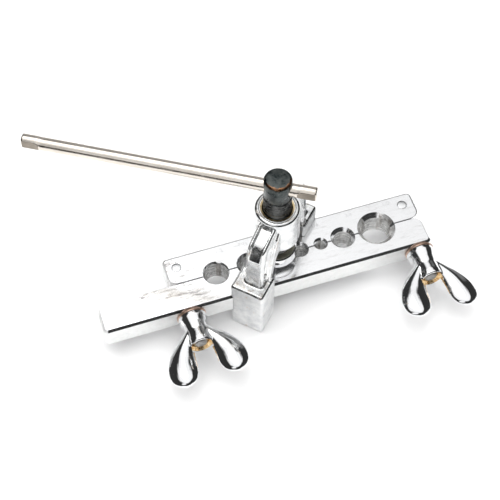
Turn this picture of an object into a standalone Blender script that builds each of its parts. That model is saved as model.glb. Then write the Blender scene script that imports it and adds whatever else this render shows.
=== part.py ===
"""A slip-on yoke flaring tool: split die bar, wing nuts, yoke, feed screw and 45 degree cone.

Everything is modelled round one point, where the feed screw's axis meets the top of the
bars: +X along the bars, +Y towards the rear bar, +Z up the screw. At the end the whole
tool is moved so that the middle of its footprint is the world origin and it stands on Z = 0.
"""

import math

import bmesh
import bpy
from mathutils import Matrix, Vector

MM = 0.001
GAP = 0.3                    # left between pieces that touch
PAST = 1.0                   # how far a cutter runs past the face it cuts through

# Split die bar
BAR_WIDTH = 17.0             # of each half
BAR_THICK = 14.0
BAR_EDGE = 1.0               # chamfer along the outer edges
SPLIT_EDGE = 0.25            # and along the split, as a part of the outer one
BAR_RIGHT = 84.0
FRONT_BAR_LEFT = -100.6      # the front half runs on as a grip
REAR_BAR_LEFT = -60.0
SPLIT_CORNER = 5.5           # corner radii in plan, beside the split and away from it
OUTER_CORNER = 2.8

# Tube holes: place along the bars, tube diameter, diameter of the 45 degree flare seat
TUBE_HOLES = (
    (-34.0, 12.70, 14.0),
    (-15.0, 11.11, 13.8),
    (0.0, 7.94, 11.6),
    (13.7, 6.35, 9.2),
    (25.6, 4.76, 7.3),
    (38.4, 9.53, 13.1),
    (57.9, 15.88, 20.4),
)

# Clamping studs, their pins, washers and wing nuts
STUD_X = (-53.3, 76.8)
STUD_RADIUS = 3.8
STUD_PIN_Y = 9.8
STUD_PIN_RADIUS = 2.5
STUD_INNER_Y = 13.4          # the end inside the rear bar
STUD_OUTER_Y = -35.2         # the end inside the wing nut
STUD_Z = -0.5 * BAR_THICK
DOWEL_X = (-45.2, 69.4)
DOWEL_RADIUS = 1.5
DOWEL_HALF = 5.5
DOWEL_Z = -10.0
WASHER_RADIUS = 8.0
WASHER_THICK = 1.1
NUT_TWIST = (4.0, -5.0)      # degrees about each stud
NUT_LENGTH = 17.2
NUT_BASE = 7.8
NUT_WAIST = 6.3
NUT_TIP = 6.7

# Yoke, in its own frame: +X along the arms, +Z up
YOKE_TURN = 45.0             # degrees from the bars
JAW_INNER = 17.6
JAW_OUTER = 33.4
JAW_HALF_WIDTH = 9.5
JAW_OFFSET = 1.2             # both jaws stand a little to the left of the arms' middle
JAW_TOP = 10.0
JAW_BOTTOM = -25.9
ARM_HALF_WIDTH = 5.2
FLANGE_HALF_WIDTH = 6.9
HUB_RADIUS = 12.0
HUB_TOP = 47.4
HUB_BOTTOM = 22.6
BUSH_RADIUS = 9.6
POCKET_HALF_WIDTH = 3.5
POCKET_DEPTH = 2.3

# Feed screw, handle and cone
SCREW_RADIUS = 7.4           # over the thread
HEAD_RADIUS = 7.3
HEAD_TOP = 72.4
HEAD_BOTTOM = 59.0
HANDLE_Z = 65.0
HANDLE_RADIUS = 3.55
HANDLE_TURN = -31.0          # degrees from the bars
HANDLE_LEFT = -134.0
HANDLE_RIGHT = 20.0
SWAGE_LENGTH = 10.5
CONE_RADIUS = 10.7
CONE_LOW = 5.3               # lower rim of the cone's cylindrical band
CONE_TOP = 12.5
SOCKET_RADIUS = 5.6
SOCKET_BOTTOM = 1.2
NECK_RADIUS = 5.2
NECK_BOTTOM = 5.0
GROOVE_RADIUS = 3.8
GROOVE_Z = 9.0
CONE_PIN_RADIUS = 1.0
CONE_PIN_OFFSET = 5.1
CONE_PIN_HALF = 8.9
BALL_RADIUS = 1.6

ROUND_STEPS = 40


# --- scene and small helpers ------------------------------------------------------------

def clear_scene():
    for old in list(bpy.data.objects):
        bpy.data.objects.remove(old, do_unlink=True)


def make_collection(name):
    collection = bpy.data.collections.new(name)
    bpy.context.scene.collection.children.link(collection)
    return collection


def metal(name, colour, roughness, metallic=1.0):
    material = bpy.data.materials.new(name)
    material.use_nodes = True
    shader = material.node_tree.nodes["Principled BSDF"]
    shader.inputs["Base Color"].default_value = (*colour, 1.0)
    shader.inputs["Roughness"].default_value = roughness
    shader.inputs["Metallic"].default_value = metallic
    material.diffuse_color = (*colour, 1.0)
    return material


def empty(name, parent=None, location=(0.0, 0.0, 0.0), rotation=(0.0, 0.0, 0.0)):
    """A frame to hang pieces on: location in millimetres, rotation in degrees."""
    frame = bpy.data.objects.new(name, None)
    PARTS.objects.link(frame)
    frame.parent = parent
    frame.location = Vector(location) * MM
    frame.rotation_euler = [math.radians(angle) for angle in rotation]
    return frame


def add(name, mesh, parent, location=(0.0, 0.0, 0.0), rotation=(0.0, 0.0, 0.0), cutter=False):
    piece = bpy.data.objects.new(name, mesh)
    (CUTTERS if cutter else PARTS).objects.link(piece)
    piece.parent = parent
    piece.location = Vector(location) * MM
    piece.rotation_euler = [math.radians(angle) for angle in rotation]
    if cutter:
        piece.hide_render = True
        piece.display_type = "WIRE"
    return piece


def mesh_from(name, build):
    """A mesh filled by build(bm), which works in millimetres."""
    bm = bmesh.new()
    build(bm)
    bmesh.ops.scale(bm, vec=(MM, MM, MM), verts=bm.verts)
    bmesh.ops.recalc_face_normals(bm, faces=bm.faces)
    mesh = bpy.data.meshes.new(name)
    bm.to_mesh(mesh)
    bm.free()
    return mesh


def box_mesh(name, low, high):
    middle = [(a + b) / 2 for a, b in zip(low, high)]
    size = [b - a for a, b in zip(low, high)]

    def build(bm):
        bmesh.ops.create_cube(bm, size=1.0)
        bmesh.ops.scale(bm, vec=size, verts=bm.verts)
        bmesh.ops.translate(bm, vec=middle, verts=bm.verts)
    return mesh_from(name, build)


def rod_mesh(name, radius, start, end, axis="Z", steps=ROUND_STEPS):
    """A cylinder along one axis, from start to end."""
    tilt = {"X": Matrix.Rotation(math.pi / 2, 4, "Y"),
            "Y": Matrix.Rotation(-math.pi / 2, 4, "X"),
            "Z": Matrix.Identity(4)}[axis]
    along = {"X": Vector((1, 0, 0)), "Y": Vector((0, 1, 0)), "Z": Vector((0, 0, 1))}[axis]
    place = Matrix.Translation(along * (start + end) / 2) @ tilt

    def build(bm):
        bmesh.ops.create_cone(bm, cap_ends=True, segments=steps, radius1=radius,
                              radius2=radius, depth=abs(end - start), matrix=place)
    return mesh_from(name, build)


def turned_mesh(name, profile, closed=False):
    """The profile of a turned piece as (radius, height) pairs, for a Screw modifier."""
    def build(bm):
        corners = [bm.verts.new((radius, 0.0, height)) for radius, height in profile]
        for first, second in zip(corners, corners[1:]):
            bm.edges.new((first, second))
        if closed:
            bm.edges.new((corners[-1], corners[0]))
    return mesh_from(name, build)


def turn(piece, steps=ROUND_STEPS):
    screw = piece.modifiers.new("Turned", "SCREW")
    screw.axis = "Z"
    screw.steps = steps
    screw.render_steps = steps
    screw.use_merge_vertices = True
    screw.merge_threshold = 0.00005
    screw.use_smooth_shade = True
    return piece


def bevel(piece, width, segments=2, angle=35.0):
    edge = piece.modifiers.new("Edges", "BEVEL")
    edge.width = width * MM
    edge.segments = segments
    edge.limit_method = "ANGLE"
    edge.angle_limit = math.radians(angle)
    edge.use_clamp_overlap = True


def boolean(piece, other, operation):
    step = piece.modifiers.new(f"{operation.title()} {other.name}", "BOOLEAN")
    step.operation = operation
    step.solver = "EXACT"
    step.object = other


def cut(piece, *cutters):
    for cutter in cutters:
        boolean(piece, cutter, "DIFFERENCE")


def unite(piece, *others):
    for other in others:
        boolean(piece, other, "UNION")


def finish(piece, material, smooth=True):
    piece.data.materials.append(material)
    if smooth:
        piece.data.shade_smooth()
        piece.data.set_sharp_from_angle(angle=math.radians(35.0))
    return piece


def rounded(corners, steps=4):
    """Corners (x, y, radius) of a closed outline, each rounded by an arc of its radius."""
    outline = []
    for index, (x, y, radius) in enumerate(corners):
        corner = Vector((x, y))
        before = Vector(corners[index - 1][:2]) - corner
        after = Vector(corners[(index + 1) % len(corners)][:2]) - corner
        if radius <= 0.0:
            outline.append(corner)
            continue
        half = before.angle(after) / 2
        reach = radius / math.tan(half)
        bisector = (before.normalized() + after.normalized()).normalized()
        centre = corner + bisector * radius / math.sin(half)
        first = corner + before.normalized() * reach - centre
        last = corner + after.normalized() * reach - centre
        sweep = first.angle_signed(last)
        for step in range(steps + 1):
            turned = Matrix.Rotation(-sweep * step / steps, 2) @ first
            outline.append(centre + turned)
    return outline


def plate_mesh(name, outline, low, high):
    """A flat outline made solid between two heights, by way of a filled 2D curve."""
    curve = bpy.data.curves.new(name, "CURVE")
    curve.dimensions = "2D"
    curve.fill_mode = "BOTH"
    curve.extrude = (high - low) / 2 * MM
    spline = curve.splines.new("POLY")
    spline.points.add(len(outline) - 1)
    for point, corner in zip(spline.points, outline):
        point.co = (corner[0] * MM, corner[1] * MM, 0.0, 1.0)
    spline.use_cyclic_u = True
    drawn = bpy.data.objects.new(name, curve)
    bpy.context.scene.collection.objects.link(drawn)
    drawn.location.z = (low + high) / 2 * MM
    graph = bpy.context.evaluated_depsgraph_get()
    mesh = bpy.data.meshes.new_from_object(drawn.evaluated_get(graph))
    mesh.transform(Matrix.Translation((0.0, 0.0, (low + high) / 2 * MM)))
    bpy.data.objects.remove(drawn, do_unlink=True)
    bm = bmesh.new()
    bm.from_mesh(mesh)
    bmesh.ops.remove_doubles(bm, verts=bm.verts, dist=1e-6)
    bmesh.ops.recalc_face_normals(bm, faces=bm.faces)
    bmesh.ops.dissolve_limit(bm, angle_limit=math.radians(0.5), verts=bm.verts, edges=bm.edges)
    bm.to_mesh(mesh)
    bm.free()
    return mesh


def side_plate_mesh(name, outline, half_width):
    """An outline drawn in the XZ plane, made solid to both sides of it along Y."""
    mesh = plate_mesh(name, outline, -half_width, half_width)
    mesh.transform(Matrix.Rotation(math.pi / 2, 4, "X"))
    return mesh


# --- split die bar -------------------------------------------------------------------------

def hole_cutters(parent):
    """One cutter for each tube hole: a bore with a 45 degree seat at the top."""
    cutters = []
    for number, (x, tube, seat) in enumerate(TUBE_HOLES, start=1):
        bore = tube / 2
        flare = seat / 2
        profile = ((0.0, PAST), (flare + PAST, PAST), (bore, bore - flare),
                   (bore, -BAR_THICK - PAST), (0.0, -BAR_THICK - PAST))
        mesh = turned_mesh(f"tube_hole_{number}", profile)
        cutters.append(turn(add(f"tube_hole_{number}", mesh, parent, (x, 0.0, 0.0), cutter=True)))
    return cutters


def weigh_rims(mesh, split):
    """Bevel weights for the rims above and below: small at the split, full further away."""
    weight = mesh.attributes.new("bevel_weight_edge", "FLOAT", "EDGE")
    for edge in mesh.edges:
        first, second = (mesh.vertices[index].co / MM for index in edge.vertices)
        if abs(first.z - second.z) < PAST:
            away = abs((first.y + second.y) / 2 - split) / SPLIT_CORNER
            weight.data[edge.index].value = SPLIT_EDGE + (1.0 - SPLIT_EDGE) * min(away, 1.0)


def bar(name, left, side, parent):
    """One half of the die bar. side is -1 for the front half and +1 for the rear half."""
    near = side * GAP / 2
    far = side * BAR_WIDTH
    corners = [(left, near, SPLIT_CORNER), (BAR_RIGHT, near, SPLIT_CORNER),
               (BAR_RIGHT, far, OUTER_CORNER), (left, far, OUTER_CORNER)]
    mesh = plate_mesh(name, rounded(corners), -BAR_THICK, 0.0)
    weigh_rims(mesh, near)
    half = add(name, mesh, parent)
    chamfer = half.modifiers.new("Chamfer", "BEVEL")
    chamfer.width = BAR_EDGE * MM
    chamfer.segments = 1
    chamfer.limit_method = "WEIGHT"
    return half


def bars(parent, chrome):
    holes = hole_cutters(parent)
    front = bar("front_bar", FRONT_BAR_LEFT, -1, parent)
    rear = bar("rear_bar", REAR_BAR_LEFT, 1, parent)
    cut(front, *holes)
    cut(rear, *holes)
    for side, x in zip(("left", "right"), STUD_X):
        bore = add(f"stud_bore_{side}", rod_mesh(
            "stud_bore", STUD_RADIUS + GAP, STUD_INNER_Y + GAP, -BAR_WIDTH - PAST, "Y"),
            parent, (x, 0.0, STUD_Z), cutter=True)
        pin_bore = add(f"pin_bore_{side}", rod_mesh(
            "pin_bore", STUD_PIN_RADIUS + GAP, -BAR_THICK - PAST, PAST, "Z", 24),
            parent, (x, STUD_PIN_Y, 0.0), cutter=True)
        cut(front, bore)
        cut(rear, bore, pin_bore)
    for side, x in zip(("left", "right"), DOWEL_X):
        bore = add(f"dowel_bore_{side}", rod_mesh(
            "dowel_bore", DOWEL_RADIUS + GAP, -DOWEL_HALF - GAP, DOWEL_HALF + GAP, "Y", 16),
            parent, (x, 0.0, DOWEL_Z), cutter=True)
        cut(front, bore)
        cut(rear, bore)
    finish(front, chrome, smooth=False)
    finish(rear, chrome, smooth=False)


def dowels(parent, steel):
    for side, x in zip(("left", "right"), DOWEL_X):
        mesh = rod_mesh(f"guide_dowel_{side}", DOWEL_RADIUS, -DOWEL_HALF, DOWEL_HALF, "Y", 16)
        finish(add(f"guide_dowel_{side}", mesh, parent, (x, 0.0, DOWEL_Z)), steel)


# --- clamping studs and wing nuts -------------------------------------------------------------

def stud(side, x, parent, steel):
    """A round stud with an eye at its inner end, and the pin that holds it in the rear bar."""
    length = STUD_INNER_Y - STUD_OUTER_Y
    tip = 0.8
    profile = ((0.0, length), (STUD_RADIUS - tip, length), (STUD_RADIUS, length - tip),
               (STUD_RADIUS, 0.0), (0.0, 0.0))
    piece = add(f"stud_{side}", turned_mesh(f"stud_{side}", profile), parent,
                (x, STUD_INNER_Y, STUD_Z), (90.0, 0.0, 0.0))
    turn(piece, 32)
    reach = STUD_RADIUS + PAST
    eye = add(f"stud_eye_{side}", rod_mesh(
        "stud_eye", STUD_PIN_RADIUS + GAP, -reach, reach, "Z", 24),
        parent, (x, STUD_PIN_Y, STUD_Z), cutter=True)
    cut(piece, eye)
    finish(piece, steel)
    pin = rod_mesh(f"stud_pin_{side}", STUD_PIN_RADIUS, -BAR_THICK, 0.0, "Z", 24)
    finish(add(f"stud_pin_{side}", pin, parent, (x, STUD_PIN_Y, 0.0)), steel)


def washer(side, parent, copper):
    inner = STUD_RADIUS + 0.4
    profile = ((WASHER_RADIUS, GAP + WASHER_THICK), (WASHER_RADIUS, GAP),
               (inner, GAP), (inner, GAP + WASHER_THICK))
    piece = turn(add(f"washer_{side}", turned_mesh(f"washer_{side}", profile, True), parent), 32)
    finish(piece, copper)


# Stations of one wing: outwards, along the stud, half width, half thickness
WING_STATIONS = (
    (2.6, 9.6, 3.6, 4.6),
    (6.4, 14.2, 4.4, 3.9),
    (9.6, 18.8, 5.7, 3.4),
    (11.9, 23.6, 7.1, 3.2),
    (13.3, 28.6, 8.0, 3.3),
    (13.7, 32.8, 7.8, 3.2),
    (13.7, 36.1, 6.5, 2.8),
    (13.7, 38.3, 4.2, 2.0),
    (13.7, 39.5, 1.6, 0.9),
)
WING_SIDES = 20


def wing_mesh(name, side):
    """A wing lofted through its stations, with an oval section square to its middle line."""
    def build(bm):
        rings = []
        for index, (x, z, half_width, half_thick) in enumerate(WING_STATIONS):
            before = WING_STATIONS[max(index - 1, 0)]
            after = WING_STATIONS[min(index + 1, len(WING_STATIONS) - 1)]
            heading = Vector((after[0] - before[0], after[1] - before[1])).normalized()
            ring = []
            for step in range(WING_SIDES):
                angle = 2 * math.pi * step / WING_SIDES
                across = half_width * math.copysign(abs(math.cos(angle)) ** 0.85, math.cos(angle))
                thick = half_thick * math.copysign(abs(math.sin(angle)) ** 0.85, math.sin(angle))
                ring.append(bm.verts.new((side * (x + heading.y * across), thick,
                                          z - heading.x * across)))
            rings.append(ring)
        for low, high in zip(rings, rings[1:]):
            for step in range(WING_SIDES):
                after = (step + 1) % WING_SIDES
                bm.faces.new((low[step], low[after], high[after], high[step]))
        bm.faces.new(rings[0])
        bm.faces.new(rings[-1])
    return mesh_from(name, build)


def wing_nut(side, parent, chrome):
    """A wing nut along +Z from the washer: a waisted barrel with two drop-shaped wings."""
    base = 2 * GAP + WASHER_THICK
    tip = base + NUT_LENGTH
    profile = ((0.0, tip), (NUT_TIP - 0.5, tip), (NUT_TIP, tip - 0.8), (NUT_TIP, tip - 3.0),
               (NUT_WAIST, base + 9.0), (NUT_WAIST + 0.5, base + 5.0), (NUT_BASE, base + 1.6),
               (NUT_BASE - 0.3, base), (0.0, base))
    nut = turn(add(f"wing_nut_{side}", turned_mesh(f"wing_nut_{side}", profile), parent), 36)
    for hand, way in (("a", -1), ("b", 1)):
        wing = add(f"wing_{side}_{hand}", wing_mesh(f"wing_{side}_{hand}", way), parent,
                   cutter=True)
        unite(nut, wing)
    bore = STUD_RADIUS + GAP
    chamfer = 1.7
    bore_profile = ((0.0, tip + PAST), (bore + chamfer + PAST, tip + PAST),
                    (bore, tip - chamfer), (bore, base - PAST), (0.0, base - PAST))
    clearance = turn(add(f"nut_bore_{side}", turned_mesh(f"nut_bore_{side}", bore_profile),
                         parent, cutter=True), 36)
    cut(nut, clearance)
    finish(nut, chrome)


def clamps(parent, chrome, steel, copper):
    for side, x, twist in zip(("left", "right"), STUD_X, NUT_TWIST):
        stud(side, x, parent, steel)
        face = empty(f"clamp_face_{side}", parent, (x, -BAR_WIDTH, STUD_Z), (90.0, 0.0, 0.0))
        spin = empty(f"nut_axis_{side}", face, rotation=(0.0, 0.0, twist))
        washer(side, face, copper)
        wing_nut(side, spin, chrome)


# --- yoke --------------------------------------------------------------------------------------

# One arm in the XZ plane: the outside from the hub's top edge down to its foot on the jaw,
# the inside from the jaw up to the hub, and the flange that stands out beside the inside.
# Each point is (outwards, up, corner radius).
ARM_OUTSIDE = ((10.0, 45.6, 0.0), (14.5, 43.8, 3.0), (25.4, 40.0, 4.5), (27.1, 28.0, 8.0),
               (28.0, JAW_TOP - 3.0, 0.0))
ARM_INSIDE = ((JAW_INNER + 0.2, JAW_TOP - 3.0, 0.0), (JAW_INNER + 0.2, 11.0, 3.0),
              (12.8, HUB_BOTTOM + 0.5, 2.0))
FLANGE_OUTSIDE = ((9.0, 44.0, 0.0), (13.4, 37.0, 6.0), (19.4, 24.0, 8.0),
                  (22.6, JAW_TOP - 2.0, 0.0))
FLANGE_INSIDE = ((JAW_INNER + 0.7, JAW_TOP - 2.0, 0.0), (JAW_INNER + 0.7, 11.3, 3.0),
                 (13.2, HUB_BOTTOM + 1.0, 2.0))


def arch_outline(outside, inside):
    """A whole arch in the XZ plane: out along one arm and back along the other."""
    right = outside + inside
    left = [(-x, z, radius) for x, z, radius in reversed(right)]
    return rounded(list(right) + left)


def pocket_outline(way):
    """The cutter of the hollow in an arm's outer face, drawn in the XZ plane."""
    depth = POCKET_DEPTH
    corners = ((11.0, 44.9 - depth, 0.0), (14.0, 43.9 - depth, 2.0),
               (25.6 - depth, 40.5 - depth, 3.4), (27.0 - depth, 32.6, 1.6), (30.0, 30.2, 0.0),
               (31.0, 44.0, 0.0), (13.0, 50.0, 0.0))
    return rounded([(way * x, z, radius) for x, z, radius in corners])


def flank_outline(way):
    """The cutter of the groove down an arm's side, drawn in the XZ plane."""
    corners = ((16.0, 36.5, 1.4), (22.8, 35.6, 2.2), (25.2, 17.0, 1.2), (22.2, 16.0, 1.2),
               (19.8, 25.0, 4.0))
    return rounded([(way * x, z, radius) for x, z, radius in corners])


def jaw(way, yoke_frame, bar_frame):
    """One jaw block and the cutter of its notch, whose walls lie along the bars."""
    label = "front" if way < 0 else "rear"
    inner, outer = sorted((way * JAW_INNER, way * JAW_OUTER))
    block = add(f"jaw_{label}", box_mesh(
        f"jaw_{label}", (inner, JAW_OFFSET - JAW_HALF_WIDTH, JAW_BOTTOM),
        (outer, JAW_OFFSET + JAW_HALF_WIDTH, JAW_TOP)), yoke_frame, cutter=True)
    bevel(block, 0.9, segments=2)
    wall = way * (BAR_WIDTH + GAP)
    low, high = sorted((0.0, wall))
    reach = JAW_OUTER + JAW_HALF_WIDTH
    notch = add(f"notch_{label}", box_mesh(
        f"notch_{label}", (-reach, low, -BAR_THICK - GAP), (reach, high, GAP)),
        bar_frame, cutter=True)
    return block, notch


def yoke(bar_frame, chrome, bronze):
    frame = empty("yoke_axis", bar_frame, rotation=(0.0, 0.0, YOKE_TURN))
    body = add("yoke", side_plate_mesh("yoke", arch_outline(ARM_OUTSIDE, ARM_INSIDE),
                                       ARM_HALF_WIDTH), frame)
    bevel(body, 1.8, segments=3, angle=50.0)
    flange = add("flange", side_plate_mesh("flange", arch_outline(FLANGE_OUTSIDE, FLANGE_INSIDE),
                                           FLANGE_HALF_WIDTH), frame, cutter=True)
    bevel(flange, 0.9, segments=2, angle=50.0)
    for way, label in ((-1, "front"), (1, "rear")):
        pocket = add(f"pocket_{label}", side_plate_mesh(
            f"pocket_{label}", pocket_outline(way), POCKET_HALF_WIDTH), frame, cutter=True)
        bevel(pocket, 1.6, segments=2, angle=60.0)
        cut(body, pocket)
        for side, flank in ((-1, "a"), (1, "b")):
            groove = add(f"groove_{label}_{flank}", side_plate_mesh(
                f"groove_{label}_{flank}", flank_outline(way), 2.0), frame,
                (0.0, side * (ARM_HALF_WIDTH + 0.6), 0.0), cutter=True)
            cut(body, groove)
    unite(body, flange)
    edge = 1.6
    hub_profile = ((0.0, HUB_TOP), (HUB_RADIUS - edge, HUB_TOP),
                   (HUB_RADIUS - 0.4 * edge, HUB_TOP - 0.4 * edge),
                   (HUB_RADIUS, HUB_TOP - edge), (HUB_RADIUS, HUB_BOTTOM + 0.8),
                   (HUB_RADIUS - 0.8, HUB_BOTTOM), (0.0, HUB_BOTTOM))
    hub = turn(add("hub", turned_mesh("hub", hub_profile), frame, cutter=True))
    unite(body, hub)
    for way in (-1, 1):
        block, notch = jaw(way, frame, bar_frame)
        unite(body, block)
        cut(body, notch)
    bore = add("bush_bore", rod_mesh("bush_bore", BUSH_RADIUS + GAP, HUB_BOTTOM - PAST,
                                     HUB_TOP + PAST), frame, cutter=True)
    cut(body, bore)
    finish(body, chrome)
    inner = SCREW_RADIUS + GAP
    profile = ((inner + 0.9, HUB_TOP - 0.2), (BUSH_RADIUS, HUB_TOP - 0.2),
               (BUSH_RADIUS, HUB_BOTTOM + 0.2), (inner, HUB_BOTTOM + 0.2), (inner, HUB_TOP - 1.1))
    finish(turn(add("hub_bush", turned_mesh("hub_bush", profile, True), frame)), bronze)


# --- feed screw, handle and cone -------------------------------------------------------------------

def cone(parent, steel, bright):
    """The flaring cone, with the ball and the two pins that tie it to the screw's neck."""
    rim = 0.5
    tip = CONE_LOW - CONE_RADIUS
    profile = ((0.0, SOCKET_BOTTOM), (SOCKET_RADIUS, SOCKET_BOTTOM), (SOCKET_RADIUS, CONE_TOP),
               (CONE_RADIUS - rim, CONE_TOP), (CONE_RADIUS, CONE_TOP - rim),
               (CONE_RADIUS, CONE_LOW), (0.5, tip + 0.5), (0.0, tip + 0.5))
    body = turn(add("flaring_cone", turned_mesh("flaring_cone", profile), parent))
    for side, way in (("a", -1), ("b", 1)):
        place = (0.0, way * CONE_PIN_OFFSET, GROOVE_Z)
        hole = add(f"cone_pin_hole_{side}", rod_mesh(
            "cone_pin_hole", CONE_PIN_RADIUS + GAP, -CONE_RADIUS - PAST, CONE_RADIUS + PAST,
            "X", 16), parent, place, cutter=True)
        cut(body, hole)
        pin = rod_mesh(f"cone_pin_{side}", CONE_PIN_RADIUS, -CONE_PIN_HALF, CONE_PIN_HALF,
                       "X", 16)
        finish(add(f"cone_pin_{side}", pin, parent, place), steel)
    finish(body, bright)

    def build(bm):
        bmesh.ops.create_uvsphere(bm, u_segments=16, v_segments=10, radius=BALL_RADIUS)
    ball_z = SOCKET_BOTTOM + GAP + BALL_RADIUS
    ball = add("thrust_ball", mesh_from("thrust_ball", build), parent, (0.0, 0.0, ball_z))
    finish(ball, steel)


def feed_screw(parent, oxide):
    neck = CONE_TOP + GAP
    profile = (
        (0.0, HEAD_TOP), (HEAD_RADIUS - 0.9, HEAD_TOP), (HEAD_RADIUS, HEAD_TOP - 0.9),
        (HEAD_RADIUS, HEAD_BOTTOM + 0.4), (HEAD_RADIUS - 0.5, HEAD_BOTTOM),
        (HEAD_RADIUS - 0.5, HEAD_BOTTOM - 0.8), (SCREW_RADIUS, HEAD_BOTTOM - 1.6),
        (SCREW_RADIUS, neck + 1.0), (SCREW_RADIUS - 1.0, neck), (NECK_RADIUS, neck),
        (NECK_RADIUS, GROOVE_Z + 1.5), (GROOVE_RADIUS, GROOVE_Z + 1.5),
        (GROOVE_RADIUS, GROOVE_Z - 1.5), (NECK_RADIUS, GROOVE_Z - 1.5),
        (NECK_RADIUS, NECK_BOTTOM + 0.4), (NECK_RADIUS - 0.4, NECK_BOTTOM), (0.0, NECK_BOTTOM))
    screw = turn(add("feed_screw", turned_mesh("feed_screw", profile), parent))
    reach = HEAD_RADIUS + PAST
    hole = add("handle_hole", rod_mesh(
        "handle_hole", HANDLE_RADIUS + GAP, -reach, reach, "X", 28),
        parent, (0.0, 0.0, HANDLE_Z), (0.0, 0.0, HANDLE_TURN), cutter=True)
    cut(screw, hole)
    finish(screw, oxide)


def handle_bar(parent, nickel):
    """A sliding rod whose ends are pressed flat, so that it can't leave the screw's head."""
    frame = empty("handle_axis", parent, (0.0, 0.0, HANDLE_Z), (0.0, 0.0, HANDLE_TURN))
    sides = 28
    ramp = 3.0

    def section(x):
        """How wide and how tall the rod is at x, as parts of its plain diameter."""
        from_end = min(x - HANDLE_LEFT, HANDLE_RIGHT - x)
        pressed = min(max((SWAGE_LENGTH - from_end) / ramp, 0.0), 1.0)
        pressed = pressed * pressed * (3 - 2 * pressed)
        rim = 0.9 if from_end < 0.01 else 1.0
        return rim * (1.0 - 0.24 * pressed), rim * (1.0 + 0.10 * pressed)

    def build(bm):
        inward = (0.0, 0.5, 7.5, 8.3, 9.0, 9.7, 10.5)
        places = [HANDLE_LEFT + step for step in inward]
        places += [HANDLE_RIGHT - step for step in reversed(inward)]
        rings = []
        for x in places:
            wide, tall = section(x)
            ring = []
            for step in range(sides):
                angle = 2 * math.pi * step / sides
                ring.append(bm.verts.new((x, HANDLE_RADIUS * wide * math.cos(angle),
                                          HANDLE_RADIUS * tall * math.sin(angle))))
            rings.append(ring)
        for low, high in zip(rings, rings[1:]):
            for step in range(sides):
                after = (step + 1) % sides
                bm.faces.new((low[step], low[after], high[after], high[step]))
        bm.faces.new(rings[0])
        bm.faces.new(rings[-1])
    finish(add("handle_bar", mesh_from("handle_bar", build), frame), nickel)


# --- assembly ------------------------------------------------------------------------------------------

def stand_on_origin(root):
    """Moves the tool so that it stands on Z = 0 with the origin in the middle under it."""
    bpy.context.view_layer.update()
    graph = bpy.context.evaluated_depsgraph_get()
    corners = []
    for piece in PARTS.objects:
        if piece.type == "MESH":
            shown = piece.evaluated_get(graph)
            corners += [shown.matrix_world @ vertex.co for vertex in shown.data.vertices]
    low = [min(corner[axis] for corner in corners) for axis in range(3)]
    high = [max(corner[axis] for corner in corners) for axis in range(3)]
    root.location = (-(low[0] + high[0]) / 2, -(low[1] + high[1]) / 2, -low[2])


clear_scene()
PARTS = make_collection("flaring_tool")
CUTTERS = make_collection("flaring_tool_cutters")
CHROME = metal("chrome_plate", (0.86, 0.87, 0.88), 0.12)
SATIN_CHROME = metal("satin_chrome", (0.78, 0.79, 0.80), 0.25)
STEEL = metal("plain_steel", (0.52, 0.52, 0.53), 0.35)
OXIDE = metal("black_oxide", (0.06, 0.07, 0.07), 0.45, 0.8)
NICKEL = metal("warm_nickel", (0.70, 0.62, 0.52), 0.25)
COPPER = metal("coppery_washer", (0.62, 0.38, 0.27), 0.35)
BRONZE = metal("bronze_bush", (0.50, 0.40, 0.22), 0.40)

TOOL = empty("tool")
SPINDLE = empty("spindle_axis", TOOL)
CONE_AXIS = empty("cone_axis", SPINDLE, rotation=(0.0, 0.0, YOKE_TURN))
bars(TOOL, CHROME)
dowels(TOOL, STEEL)
clamps(TOOL, CHROME, STEEL, COPPER)
yoke(TOOL, SATIN_CHROME, BRONZE)
cone(CONE_AXIS, STEEL, CHROME)
feed_screw(SPINDLE, OXIDE)
handle_bar(SPINDLE, NICKEL)
stand_on_origin(TOOL)
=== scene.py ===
"""Looks for the flaring tool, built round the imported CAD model."""

import math

import bmesh
import bpy
from mathutils import Matrix, Vector, noise


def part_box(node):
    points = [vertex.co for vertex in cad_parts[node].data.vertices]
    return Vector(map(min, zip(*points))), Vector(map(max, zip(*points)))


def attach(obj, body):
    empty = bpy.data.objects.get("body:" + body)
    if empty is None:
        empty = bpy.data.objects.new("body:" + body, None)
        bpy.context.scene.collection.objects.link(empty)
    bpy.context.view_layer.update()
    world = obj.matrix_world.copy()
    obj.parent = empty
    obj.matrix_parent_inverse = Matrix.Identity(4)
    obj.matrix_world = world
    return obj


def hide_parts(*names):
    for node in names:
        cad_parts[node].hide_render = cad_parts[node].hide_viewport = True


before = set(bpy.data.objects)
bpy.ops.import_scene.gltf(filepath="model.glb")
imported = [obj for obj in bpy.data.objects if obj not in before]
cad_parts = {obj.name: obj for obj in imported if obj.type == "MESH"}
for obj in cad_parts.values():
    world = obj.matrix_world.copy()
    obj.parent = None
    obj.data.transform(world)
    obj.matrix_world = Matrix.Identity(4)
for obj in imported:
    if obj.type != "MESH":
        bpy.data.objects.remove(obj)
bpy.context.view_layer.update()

MM = 0.001
GAP = 0.3    # between neighbouring pieces, as in the CAD


# --- frames: millimetres round the point where the screw's axis meets the top of the bars ------

SCREW_LOW, SCREW_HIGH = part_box("feed_screw")
BAR_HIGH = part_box("front_bar")[1]
BAR_FRAME = Matrix.Translation(((SCREW_LOW.x + SCREW_HIGH.x) / 2,
                                (SCREW_LOW.y + SCREW_HIGH.y) / 2, BAR_HIGH.z))


def placed(x=0.0, y=0.0, z=0.0):
    """A move by millimetres."""
    return Matrix.Translation(Vector((x, y, z)) * MM)


def turned_by(degrees, axis):
    return Matrix.Rotation(math.radians(degrees), 4, axis)


# The yoke stands turned on the bars, and the handle lies in the screw's head
YOKE_FRAME = BAR_FRAME @ turned_by(45.0, "Z")
HANDLE_FRAME = BAR_FRAME @ placed(z=65.0) @ turned_by(-31.0, "Z")


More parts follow.
